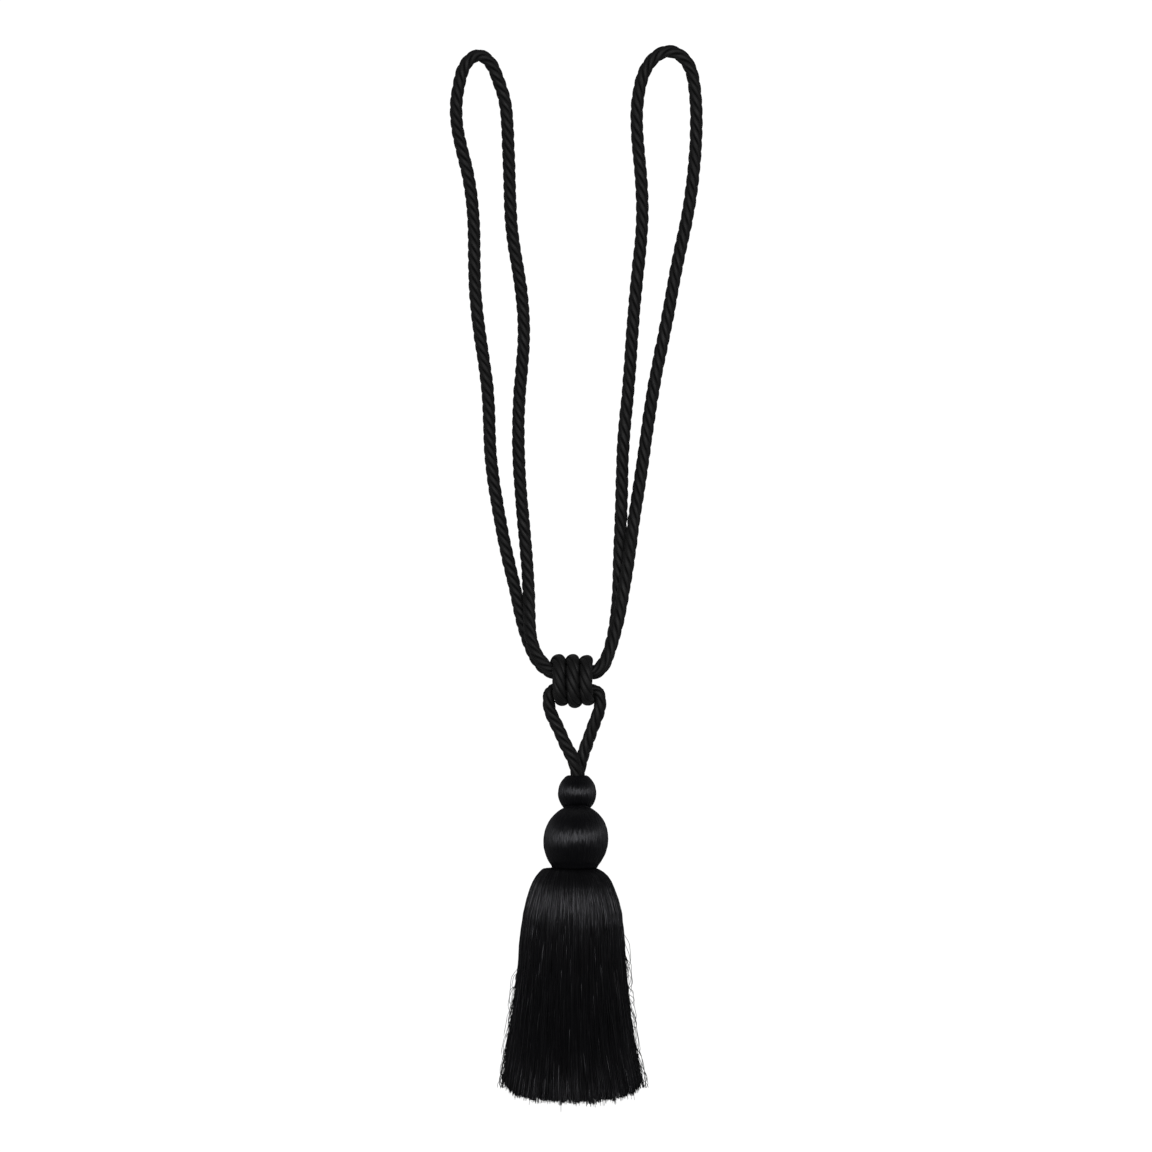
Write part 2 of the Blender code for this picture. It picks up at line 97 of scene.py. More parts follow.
LEFT_LEG = (
    (0.0015, 0.1028, 0.0156, 0.83),
    (0.0011, 0.1086, 0.0159, 0.87),
    (-0.0006, 0.1170, 0.0169, 1.0),
    (-0.0060, 0.1280, 0.0165, 1.0),
    (-0.0114, 0.1398, 0.0152, 1.0),
    (-0.0156, 0.1488, 0.0143, 1.0),
    (-0.0168, 0.1562, 0.0138, 0.98),
    (-0.0151, 0.1624, 0.0133, 0.93),
)
PASS_LOW = (
    (-0.0110, 0.1644, 0.0126, 0.8),
    (-0.0060, 0.1658, 0.0113, 0.75),
    (-0.0005, 0.1684, 0.0101, 0.75),
    (0.0050, 0.1710, 0.0113, 0.75),
    (0.0101, 0.1725, 0.0126, 0.82),
)
RIGHT_ARM_UNDER = (
    (0.0160, 0.1754, 0.0120, 0.98),
    (0.0213, 0.1842, 0.0096, 1.0),
    (0.0247, 0.1963, 0.0068, 1.0),
    (0.0276, 0.2145, 0.0045, 1.0),
    (0.0291, 0.2470, *LYING),
    (0.0306, 0.2860, *LYING),
    (0.0319, 0.3250, *LYING),
    (0.0346, 0.3543, *LYING),
    (0.0375, 0.3933, *LYING),
    (0.0412, 0.4355, *LYING),
    (0.0439, 0.4648, *LYING),
    (0.0429, 0.5005, *LYING),
    (0.0405, 0.5330, *LYING),
    (0.0428, 0.5562, *LYING),
)
RIGHT_LOOP = (
    (0.0504, 0.5726, *LYING),
    (0.0612, 0.5784, *LYING),
    (0.0721, 0.5727, *LYING),
    (0.0777, 0.5576, *LYING),
)
RIGHT_ARM_OVER = (
    (0.0793, 0.5363, *LYING),
    (0.0772, 0.4973, *LYING),
    (0.0728, 0.4680, *LYING),
    (0.0670, 0.4407, *LYING),
    (0.0601, 0.4030, *LYING),
    (0.0523, 0.3640, *LYING),
    (0.0463, 0.3250, *LYING),
    (0.0426, 0.2990, 0.0052, 1.0),
    (0.0384, 0.2717, 0.0084, 1.0),
    (0.0358, 0.2522, 0.0103, 1.0),
    (0.0325, 0.2308, 0.0118, 1.0),
    (0.0285, 0.2093, 0.0134, 1.0),
    (0.0247, 0.1950, 0.0157, 1.0),
    (0.0211, 0.1846, 0.0182, 1.0),
    (0.0162, 0.1775, 0.0203, 0.98),
)
PASS_FRONT = (
    (0.0101, 0.1747, 0.0213, 0.82),
    (-0.0007, 0.1744, 0.0216, 0.75),
    (-0.0114, 0.1747, 0.0213, 0.82),
)
LEFT_ARM_OVER = (
    (-0.0182, 0.1783, 0.0204, 0.98),
    (-0.0241, 0.1853, 0.0185, 1.0),
    (-0.0279, 0.1950, 0.0157, 1.0),
    (-0.0294, 0.2100, 0.0118, 1.0),
    (-0.0299, 0.2275, 0.0076, 1.0),
    (-0.0313, 0.2503, 0.0046, 1.0),
    (-0.0345, 0.2860, *LYING),
    (-0.0364, 0.3185, *LYING),
    (-0.0360, 0.3510, *LYING),
    (-0.0330, 0.3933, *LYING),
    (-0.0354, 0.4277, *LYING),
    (-0.0405, 0.4602, *LYING),
    (-0.0422, 0.4908, *LYING),
    (-0.0436, 0.5278, *LYING),
    (-0.0463, 0.5497, *LYING),
)
LEFT_LOOP = (
    (-0.0503, 0.5613, *LYING),
    (-0.0555, 0.5718, *LYING),
    (-0.0626, 0.5757, *LYING),
    (-0.0695, 0.5717, *LYING),
    (-0.0743, 0.5605, *LYING),
)
LEFT_ARM_UNDER = (
    (-0.0768, 0.5460, *LYING),
    (-0.0761, 0.5278, *LYING),
    (-0.0702, 0.5018, *LYING),
    (-0.0657, 0.4680, *LYING),
    (-0.0648, 0.4258, *LYING),
    (-0.0615, 0.3933, *LYING),
    (-0.0563, 0.3543, *LYING),
    (-0.0548, 0.3185, *LYING),
    (-0.0501, 0.2828, *LYING),
    (-0.0436, 0.2496, *LYING),
    (-0.0380, 0.2255, *LYING),
    (-0.0341, 0.2080, 0.0046, 1.0),
    (-0.0302, 0.1950, 0.0068, 1.0),
    (-0.0255, 0.1842, 0.0096, 1.0),
    (-0.0185, 0.1762, 0.0120, 0.98),
)
PASS_HIGH = (
    (-0.0114, 0.1725, 0.0128, 0.82),
    (-0.0060, 0.1712, 0.0156, 0.75),
    (-0.0005, 0.1684, 0.0167, 0.75),
    (0.0050, 0.1655, 0.0156, 0.75),
    (0.0098, 0.1638, 0.0142, 0.8),
)
RIGHT_LEG = (
    (0.0146, 0.1623, 0.0139, 0.9),
    (0.0168, 0.1566, 0.0137, 0.93),
    (0.0160, 0.1495, 0.0128, 1.0),
    (0.0131, 0.1417, 0.0113, 1.0),
    (0.0089, 0.1300, 0.0093, 1.0),
    (0.0053, 0.1196, 0.0082, 1.0),
    (0.0033, 0.1086, 0.0085, 0.87),
    (0.0029, 0.1028, 0.0086, 0.83),
)
ROPE_ROUTE = (
    LEFT_LEG
    + PASS_LOW
    + RIGHT_ARM_UNDER
    + RIGHT_LOOP
    + RIGHT_ARM_OVER
    + PASS_FRONT
    + LEFT_ARM_OVER
    + LEFT_LOOP
    + LEFT_ARM_UNDER
    + PASS_HIGH
    + RIGHT_LEG
)
print("points on the route:", len(ROPE_ROUTE))

# %% [markdown]
# A rope never has corners, so the points are joined by a natural cubic curve: the shape that a
# thin springy strip takes when it is held at a few pins. It is then read again at even steps of
# its own length, which keeps the twist even.

# %% Measure along a line


def travelled_along(points):
    """How far along the line each of its points lies."""
    steps = np.linalg.norm(np.diff(points, axis=0), axis=1)
    return np.concatenate(([0.0], np.cumsum(steps)))


def even_steps(curve, spacing):
    """Read a finely drawn curve again at even steps of its own length."""
    travelled = travelled_along(curve[:, :3])
    count = round(travelled[-1] / spacing) + 1
    stations = np.linspace(0.0, travelled[-1], count)
    return np.stack([np.interp(stations, travelled, column) for column in curve.T], axis=1)


# %% A smooth curve through the points
READINGS_PER_STEP = 6


def smooth_curve(rows, spacing):
    """Points at even spacing along the natural cubic curve through the rows."""
    rows = np.array(rows)
    gaps = np.linalg.norm(np.diff(rows[:, :3], axis=0), axis=1)
    along = travelled_along(rows[:, :3])
    count = len(rows)
    system = np.eye(count)
    bends = np.zeros_like(rows)
    for i in range(1, count - 1):
        before, after = gaps[i - 1], gaps[i]
        system[i, i - 1 : i + 2] = before, 2 * (before + after), after
        bends[i] = 6 * ((rows[i + 1] - rows[i]) / after - (rows[i] - rows[i - 1]) / before)
    bends = np.linalg.solve(system, bends)

    fine = np.linspace(0.0, along[-1], int(along[-1] / spacing) * READINGS_PER_STEP)
    span = np.clip(np.searchsorted(along, fine, side="right") - 1, 0, count - 2)
    length = gaps[span][:, None]
    start_share = (along[span + 1] - fine)[:, None] / length
    end_share = 1 - start_share
    curve = start_share * rows[span] + end_share * rows[span + 1]
    curve += (start_share**3 - start_share) * bends[span] * length**2 / 6
    curve += (end_share**3 - end_share) * bends[span + 1] * length**2 / 6
    return even_steps(curve, spacing)


# %% Measure the rope
RING_SPACING = 0.0018

rope_line = smooth_curve(ROPE_ROUTE, RING_SPACING)
rope_points = rope_line[:, :3]

# %% [markdown]
# ## A skin over rings of points
#
# Rope, yarn and thread-covered balls are all the same kind of surface: rings of points, one
# after the other, with a skin of four-sided faces between them. So one helper serves them all.
# It takes an array of points ordered by tube, ring and corner, and can make thousands of yarns
# in one mesh. Blender's curve objects would be simpler to draw, but they can't follow each yarn
# round its strand.

# %% Faces from a grid


def four_corners(grid):
    """Read a grid of values at the four corners of each of its faces."""
    lower, upper = grid[:, :-1], grid[:, 1:]
    corners = [lower[:, :, :-1], lower[:, :, 1:], upper[:, :, 1:], upper[:, :, :-1]]
    return np.stack(corners, axis=-1)


def with_first(grid, axis):
    """The grid with its first layer repeated at the end, which closes a ring."""
    return np.concatenate([grid, np.take(grid, [0], axis=axis)], axis=axis)


# %% [markdown]
# Each face also gets a place on a flat map: across the yarn and along it, in metres. The
# finishes read it, so that their fibres run along every yarn, however it bends.

# %% The flat map
MAP_NAME = "along_the_yarn"


def map_places(points, corner_width, closed):
    """Across and along its tube, in metres, for the four corners of every side face."""
    tubes, _, corners, _ = points.shape
    middles = points.mean(axis=2)
    if closed:
        middles = with_first(middles, 1)
    along = np.linalg.norm(np.diff(middles, axis=1), axis=2).cumsum(axis=1)
    along = np.concatenate([np.zeros((tubes, 1)), along], axis=1)[:, :, None]
    across = np.arange(corners + 1) + np.arange(tubes)[:, None, None] * (corners + 1)
    across, along = np.broadcast_arrays(across * corner_width, along)
    return np.stack([four_corners(across), four_corners(along)], axis=-1).reshape(-1, 2)


def lay_map(mesh, places):
    """Give the side faces their places; the caps stay at the map's origin."""
    all_places = np.zeros((len(mesh.loops), 2), np.float32)
    all_places[: len(places)] = places
    layer = mesh.uv_layers.new(name=MAP_NAME)
    layer.uv.foreach_set("vector", all_places.ravel())


# %% [markdown]
# A tube's ends are closed with flat caps. A mesh that is made from arrays is shaded as if it
# were rounded everywhere, which would pull the shade of a cap into the sides, so the rim of each
# cap is marked as sharp.

# %% The rims of the caps


def sharpen_caps(mesh, first_cap_corner):
    """Mark the edges of all the faces from that corner on, which are the caps."""
    edge_of_corner = np.zeros(len(mesh.loops), np.int32)
    mesh.loops.foreach_get("edge_index", edge_of_corner)
    sharp = np.zeros(len(mesh.edges), bool)
    sharp[edge_of_corner[first_cap_corner:]] = True
    mesh.attributes.new("sharp_edge", "BOOLEAN", "EDGE").data.foreach_set("value", sharp)


# %% The skin


def skin(name, points, corner_width, closed=False):
    """One mesh over points[tube, ring, corner]; closed joins the last ring to the first."""
    corners = points.shape[2]
    index = with_first(np.arange(points.size // 3).reshape(points.shape[:3]), 2)
    caps = np.zeros((0, corners), int)
    if closed:
        index = with_first(index, 1)
    else:
        caps = np.concatenate([index[:, 0, :-1][:, ::-1], index[:, -1, :-1]])
    sides = four_corners(index).reshape(-1, 4)
    side_starts = np.arange(len(sides)) * 4
    cap_starts = sides.size + np.arange(len(caps)) * corners

    mesh = bpy.data.meshes.new(name)
    mesh.vertices.add(points.size // 3)
    mesh.vertices.foreach_set("co", points.astype(np.float32).ravel())
    mesh.loops.add(sides.size + caps.size)
    mesh.loops.foreach_set("vertex_index", np.concatenate([sides.ravel(), caps.ravel()]))
    mesh.polygons.add(len(sides) + len(caps))
    mesh.polygons.foreach_set("loop_start", np.concatenate([side_starts, cap_starts]))
    mesh.update(calc_edges=True)
    sharpen_caps(mesh, sides.size)
    lay_map(mesh, map_places(points, corner_width, closed))

    piece = bpy.data.objects.new(name, mesh)
    bpy.context.collection.objects.link(piece)
    print(f"{name}: {len(sides) * 2 + len(caps) * (corners - 2)} triangles")
    return piece


# %% [markdown]
# ## Twisted rope
#
# A rope-maker twists yarns into strands, and then lays four strands together the other way
# round, which locks the twist. Seen from outside, each strand climbs steeply round the rope, and
# the yarns in it run only a little across the strand.
#
# A photograph of a rope would be flat, and a bump map would leave its edge straight. Here each
# strand is its own tube. Its section is a quarter of the rope, full at its crest and drawn in
# where it meets its neighbours. It is a hair wider than a quarter and reaches a little past the
# rope's middle, so that no light shows through between the strands.

# %% One strand's section
ROPE_DIAMETER = 0.0085
STRANDS = 4
STRAND_HALF_ANGLE = math.radians(45.3)
VALLEY_DEPTH, CREST_ROUNDNESS = 0.28, 2.8
STRAND_HEART = -0.05
OUTLINE_POINTS = 81


def strand_outline():
    """The closed outline of one strand's section, in shares of the rope's radius."""
    angle = np.linspace(-STRAND_HALF_ANGLE, STRAND_HALF_ANGLE, OUTLINE_POINTS)
    reach = 1 - VALLEY_DEPTH * np.abs(angle / STRAND_HALF_ANGLE) ** CREST_ROUNDNESS
    x = np.concatenate([reach * np.cos(angle), [STRAND_HEART]])
    y = np.concatenate([reach * np.sin(angle), [0.0]])
    outline = with_first(np.stack([x, y], axis=1), 0)
    travelled = travelled_along(outline)
    return travelled / travelled[-1], outline


outline_shares, outline_points = strand_outline()
print(f"a strand is {outline_points[:, 1].max() * ROPE_DIAMETER * 1000:.1f} mm wide")

# %% [markdown]
# Nothing handmade repeats exactly. A few sine waves of different lengths, each of which starts
# anywhere, add up to a slow unevenness. A generator with a fixed seed makes it the same each time.

# %% Slow unevenness
# How many times finer each wave is than the wavelength
FINER_WAVES = (1.0, 2.1, 4.3)
WAVE_STRETCH = (0.8, 1.2)
WAVES_TOGETHER = 1.7


def slow_noise(generator, along, wavelength, count):
    """Smooth unevenness between about -1 and 1, in several rows that differ."""
    total = np.zeros((count, len(along)))
    for finer in FINER_WAVES:
        phase = generator.uniform(0, 2 * math.pi, (count, 1))
        stretch = generator.uniform(*WAVE_STRETCH, (count, 1))
        total += np.sin(2 * math.pi * along * finer * stretch / wavelength + phase) / finer
    return total / WAVES_TOGETHER


# %% [markdown]
# To wind strands round a line, one needs to know at each point which way the line runs and which
# way is sideways. The sideways direction is carried along from point to point and only ever
# tipped with the line, so that it adds no twist of its own.

# %% Directions along a line


def tangents_of(points):
    """Which way the line runs at each of its points."""
    tangents = np.gradient(points, axis=0)
    return tangents / np.linalg.norm(tangents, axis=1)[:, None]


def carried_normals(tangents):
    """A sideways direction carried along the line without turning about it."""
    normal = np.cross(tangents[0], (0.0, 0.0, 1.0))
    normals = []
    for tangent in tangents:
        normal = normal - tangent * np.dot(normal, tangent)
        normal = normal / np.linalg.norm(normal)
        normals.append(normal)
    return np.array(normals)


# %% [markdown]
# The ridges on each strand are its yarns. Three points across make one yarn, and the first of
# them lies in the groove to its neighbour. The yarns turn slowly round their strand, some are
# thicker than others, and they wander as they go.

# %% Lay four strands along a line
YARNS_IN_STRAND = 7
CORNERS_PER_YARN = 3
YARN_TURN_PITCH = 0.050
YARN_GROOVE, YARN_UNEVENNESS = 0.022, 0.018
STRAND_SWELL, SWELL_LENGTH = 0.015, 0.045
YARN_WANDER, WANDER_LENGTH = 0.08, 0.060


def lay_rope(points, normals, half_sizes, pitch, seed):
    """The strands of a rope along the points, as points[strand, ring, corner]."""
    generator = np.random.default_rng(seed)
    across = np.cross(tangents_of(points), normals)
    travelled = travelled_along(points)
    turns = np.cumsum(np.gradient(travelled) / pitch)
    corners = YARNS_IN_STRAND * CORNERS_PER_YARN
    plumpness = 1 + STRAND_SWELL * slow_noise(generator, travelled, SWELL_LENGTH, STRANDS)
    wander = YARN_WANDER * slow_noise(generator, travelled, WANDER_LENGTH, STRANDS)
    groove = np.zeros(corners)
    groove[::CORNERS_PER_YARN] = YARN_GROOVE

    strands = []
    for strand in range(STRANDS):
        start = np.arange(corners) / corners
        place = start + (travelled / YARN_TURN_PITCH + wander[strand])[:, None]
        unevenness = generator.uniform(-YARN_UNEVENNESS, YARN_UNEVENNESS, YARNS_IN_STRAND)
        height = plumpness[strand][:, None] - groove + np.repeat(unevenness, CORNERS_PER_YARN)
        x = np.interp(place % 1.0, outline_shares, outline_points[:, 0]) * height
        y = np.interp(place % 1.0, outline_shares, outline_points[:, 1]) * height
        angle = 2 * math.pi * (strand / STRANDS - turns)[:, None]
        sideways = (x * np.cos(angle) - y * np.sin(angle)) * half_sizes[:, :1]
        crossways = (x * np.sin(angle) + y * np.cos(angle)) * half_sizes[:, 1:]
        offset = sideways[..., None] * normals[:, None] + crossways[..., None] * across[:, None]
        strands.append(points[:, None] + offset)
    return np.array(strands)


# %% [markdown]
# A rope that has been bent into loops is twisted a little harder in some places than in others.
# Here the strands turn once in 27 mm in the left half and once in 30 mm in the right half. Where
# the rope touches the table it is pressed level with it.

# %% Make the rope
PITCH_LEFT, PITCH_RIGHT = 0.0268, 0.0300
PITCH_CHANGES_WITHIN = 0.03
YARN_CORNER_WIDTH = 0.00045

change = (-PITCH_CHANGES_WITHIN, PITCH_CHANGES_WITHIN)
rope_pitch = np.interp(rope_points[:, 0], change, (PITCH_LEFT, PITCH_RIGHT))
rope_half_sizes = np.stack([rope_line[:, 3], rope_line[:, 3]], axis=1) * ROPE_DIAMETER / 2
rope_normals = carried_normals(tangents_of(rope_points))
rope_strands = lay_rope(rope_points, rope_normals, rope_half_sizes, rope_pitch, seed=11)
rope_strands[..., 2] = np.maximum(rope_strands[..., 2], 0.0)
rope = skin("twisted_rope", rope_strands, YARN_CORNER_WIDTH)

# %% [markdown]
# ## The binding
#
# The rope's three passes are held together by three turns of the same rope, wound tight. The
# turns are pressed flat against what they hold, so the section is lower than it is wide, and
# the middle line is a squarish ring, drawn towards its corners.
#
# The turns lie unevenly, because they were wound by hand. Two short rows say how: X at every
# quarter turn, and how far the rope's middle stands from the axis at every half turn. Degrees
# run on turn after turn: 0 faces the loops and 90 is on top.

# %% Wind the binding
BINDING_MIDDLE_Y, BINDING_MIDDLE_Z = 0.1687, 0.0165
BINDING_HALF_HEIGHT = 0.0133
BINDING_SQUARENESS = 2.5
BINDING_ROPE_HALF = (0.00345, 0.00435)
BINDING_PITCH = 0.032
BINDING_FROM, BINDING_TO = -66, 966
BINDING_RING_SPACING = 0.0012

# From a quarter turn before 0 degrees
BINDING_X = (
    -0.0139,
    *(-0.0101, -0.0101, -0.0081, -0.0047),
    *(-0.0010, -0.0013, 0.0003, 0.0041),
    *(0.0078, 0.0073, 0.0087, 0.0127),
)
# From a half turn before 0 degrees
BINDING_REACH = (0.0142, 0.0142, 0.0128, 0.0142, 0.0142, 0.0136, 0.0126)


def squared(value):
    """A sine or cosine drawn towards the corners of its circle."""
    return np.sign(value) * np.abs(value) ** (2 / BINDING_SQUARENESS)


def binding_line(spacing):
    """The middle line of the binding's rope, turn after turn."""
    degrees = np.arange(BINDING_FROM, BINDING_TO + 1)
    x = np.interp(degrees, 90 * np.arange(-1, len(BINDING_X) - 1), BINDING_X)
    reach = np.interp(degrees, 180 * np.arange(-1, len(BINDING_REACH) - 1), BINDING_REACH)
    y = BINDING_MIDDLE_Y + reach * squared(np.cos(np.radians(degrees)))
    z = BINDING_MIDDLE_Z + BINDING_HALF_HEIGHT * squared(np.sin(np.radians(degrees)))
    return even_steps(np.stack([x, y, z], axis=1), spacing)


binding_points = binding_line(BINDING_RING_SPACING)
outward = np.cross(tangents_of(binding_points), (1.0, 0.0, 0.0))
outward /= np.linalg.norm(outward, axis=1)[:, None]
binding_half_sizes = np.tile(BINDING_ROPE_HALF, (len(binding_points), 1))
binding_strands = lay_rope(binding_points, outward, binding_half_sizes, BINDING_PITCH, seed=12)
binding_strands[..., 2] = np.maximum(binding_strands[..., 2], 0.0)
binding = skin("rope_binding", binding_strands, YARN_CORNER_WIDTH)
print(f"binding {travelled_along(binding_points)[-1]:.3f} m of rope")

# %% [markdown]
# ## The two balls
#
# Each ball is a turned wooden mould with a hole through its middle. Satin yarn is drawn through
# the hole and over the outside again and again, side by side, until no wood shows. So the yarn
# runs from pole to pole, and it crowds together at the holes.
#
# A lathe shape has the right outline, and its columns can be the yarns. Each yarn gets three
# columns of points, and the first of them lies a little deeper, as the groove to its neighbour.
# The yarn also rises and falls a little on its way, which breaks up the shine. The outline is a
# closed loop that goes back up through the hole, as the yarn does, so that there is no pole
# where faces would meet in a point.

# %% The threads on a ball
CORNERS_PER_THREAD = 3
THREAD_GROOVE, THREAD_UNEVENNESS = 0.00009, 0.4
THREAD_WAVE, THREAD_WAVELENGTH = 0.00021, 0.018
THREAD_SWAY, THREAD_SWAY_LENGTH = 0.6, 0.05


def thread_bumps(travelled, threads, generator):
    """How proud each column of points stands: its thread's own wave, less the groove."""
    waves = THREAD_WAVE * slow_noise(generator, travelled, THREAD_WAVELENGTH, threads).T
    thickness = generator.uniform(-THREAD_UNEVENNESS, THREAD_UNEVENNESS, threads)
    bumps = np.repeat(waves + thickness * THREAD_GROOVE, CORNERS_PER_THREAD, axis=1)
    bumps[:, ::CORNERS_PER_THREAD] -= THREAD_GROOVE
    return bumps


def thread_sway(travelled, threads, generator):
    """How far each thread sways to the side, in shares of the step to the next column."""
    sway = THREAD_SWAY * slow_noise(generator, travelled, THREAD_SWAY_LENGTH, threads).T
    return np.repeat(sway, CORNERS_PER_THREAD, axis=1)


# %% [markdown]
# Two more helpers finish a ball. One moves its yarns out round a body that nests in it. The other
# turns the ball's own Z axis to run from pole to pole. Blender lays the grain of a satiny finish
# round that axis, and here it has to run across the yarns.

# %% Nest a body, and turn the grain


def go_round(points, body_middle, body_half_size):
    """Move the points that lie inside a rounded body out to its surface."""
    reach = (points - body_middle) / body_half_size
    inside = np.linalg.norm(reach, axis=-1, keepdims=True)
    return body_middle + reach / np.minimum(inside, 1.0) * body_half_size


def stand_on_its_pole(piece):
    """Turn the piece's own Z axis to run along the scene's Y; its surface stays in place."""
    turn = Matrix.Rotation(math.radians(-90), 4, "X")
    piece.data.transform(turn.inverted())
    piece.rotation_euler = turn.to_euler()


# %% Wind a ball


def outward_of(profile):
    """Which way is out at each point of a closed outline: along Y, and away from the axis."""
    ahead = np.roll(profile, -1, axis=0) - np.roll(profile, 1, axis=0)
    outward_y, outward_r = ahead[:, 1:2], -ahead[:, :1]
    size = np.hypot(outward_y, outward_r)
    return outward_y / size, outward_r / size


def wind_ball(name, middle, lean, profile, threads, seed, nested=None):
    """A closed outline of (height along Y, radius along X, radius along Z), turned about Y.

    lean moves it sideways as it rises. nested is the middle and half size of a rounded body
    that its yarns go round.
    """
    generator = np.random.default_rng(seed)
    profile = np.array(profile)
    corners = threads * CORNERS_PER_THREAD
    around = 2 * math.pi * np.arange(corners) / corners
    column_step = around[1]
    widest = profile[:, 1].max()
    crowding = np.minimum(1.0, profile[:, 1:].mean(axis=1) / widest)[:, None]
    travelled = travelled_along(profile[:, :2])

    outward_y, outward_r = outward_of(profile)
    bumps = thread_bumps(travelled, threads, generator) * crowding
    heights = profile[:, :1] + outward_y * bumps
    push = outward_r * bumps
    sway = thread_sway(travelled, threads, generator) * column_step
    turned = around + sway * crowding
    x = middle[0] + lean * heights + (profile[:, 1:2] + push) * np.sin(turned)
    y = middle[1] + heights
    z = middle[2] + (profile[:, 2:3] + push) * np.cos(turned)
    points = np.stack([x, y, np.maximum(z, 0.0)], axis=-1)[None]
    if nested:
        points = go_round(points, *np.array(nested))
    ball = skin(name, points, column_step * widest, closed=True)
    stand_on_its_pole(ball)
    return ball


# %% [markdown]
# The small ball's outline is an arc that turns in at the top to a short, oval mouth, where the
# rope's two ends go down side by side. A ball is a little longer than it is wide.

# %% Wind the small ball
HOLE_RADIUS = 0.003
SMALL_RADIUS, SMALL_HALF_LENGTH = 0.0123, 0.0133
SMALL_MIDDLE = (0.0017, 0.0959, 0.01205)
SMALL_THREADS = 120


def arc(radius, half_length, first, last, step):
    """Height and radii of points on a rounded ball, between two latitudes in degrees."""
    count = max(2, round(abs(last - first) / step) + 1)
    latitude = np.radians(np.linspace(first, last, count))
    heights = half_length * np.sin(latitude)
    radii = radius * np.cos(latitude)
    return list(zip(heights, radii, radii))


small_profile = arc(SMALL_RADIUS, SMALL_HALF_LENGTH, first=-72, last=46, step=4)
small_profile += [
    (0.0103, 0.0079, 0.0081),
    (0.0110, 0.0069, 0.0077),
    (0.0114, 0.0060, 0.0075),
    (0.0113, 0.0054, 0.0075),
    (0.0103, 0.0050, 0.0075),
    (0.0080, 0.0048, 0.0075),
    (0.0040, 0.0046, 0.0062),
    (0.0000, 0.0036, 0.0036),
    (-0.0060, HOLE_RADIUS, HOLE_RADIUS),
    (-0.0116, HOLE_RADIUS, HOLE_RADIUS),
]
small_ball = wind_ball(
    "small_yarn_ball",
    middle=SMALL_MIDDLE,
    lean=0.0,
    profile=small_profile,
    threads=SMALL_THREADS,
    seed=21,
)

# %% [markdown]
# The large ball is a little longer below its middle than above it, and it leans. Its foot turns
# in to a ring, which the skirt is tied into. At the top its yarn is wound on round the small
# ball, a hair clear of it, so that the small ball sits in a seat and no gap shows between them.

# %% Wind the large ball
LARGE_RADIUS, LARGE_UPPER_LENGTH, LARGE_LOWER_LENGTH = 0.0209, 0.0227, 0.0240
LARGE_MIDDLE = (0.00085, 0.0659, 0.02065)
LARGE_LEAN = 0.04
LARGE_THREADS = 200
NESTING_CLEARANCE = 0.00015
large_profile = [
    (-0.0160, HOLE_RADIUS, HOLE_RADIUS),
    (-0.0160, 0.0100, 0.0100),
    (-0.0166, 0.0116, 0.0116),
    (-0.0176, 0.0126, 0.0126),
    (-0.0183, 0.0136, 0.0136),
    (-0.0184, 0.0142, 0.0142),
    (-0.0179, 0.0146, 0.0146),
    (-0.0172, 0.0149, 0.0149),
]
large_profile += arc(LARGE_RADIUS, LARGE_LOWER_LENGTH, first=-42, last=-3, step=3)
large_profile += arc(LARGE_RADIUS, LARGE_UPPER_LENGTH, first=0, last=78, step=3)
large_profile += [
    (0.0224, 0.0034, 0.0024),
    (0.0223, 0.0030, 0.0012),
    (0.0200, 0.0030, 0.0012),
    (0.0160, HOLE_RADIUS, HOLE_RADIUS),
    (0.0000, HOLE_RADIUS, HOLE_RADIUS),
]
small_half_size = (SMALL_RADIUS, SMALL_HALF_LENGTH, SMALL_RADIUS)
room_needed = [value + NESTING_CLEARANCE for value in small_half_size]
large_ball = wind_ball(
    "large_yarn_ball",
    middle=LARGE_MIDDLE,
    lean=LARGE_LEAN,
    profile=large_profile,
    threads=LARGE_THREADS,
    seed=22,
    nested=(SMALL_MIDDLE, room_needed),
)

# %% [markdown]
# ## The skirt
#
# The skirt is a bundle of cut yarn. It is tied in at the neck under the large ball, spreads over
# a round shoulder and falls straight to the hem, where it is trimmed in a shallow arc. It is the
# largest thing in the picture, and its character is in its thousands of fine lines.
#
# Blender's hair would draw it quickly, but hair has no mesh to keep. So every yarn here is a
# three-sided tube with its own place in the bundle: an angle round it and a share of the way
# from its middle to its edge. A short table gives the bundle's outline at each height, as if it
# were cut across: Y, the middle along X, half the width, the top, the underside, and how
# squarish the outline is. Where the underside is 0 the bundle lies on the table: its outline
# would reach a little into it, and is pressed level instead.

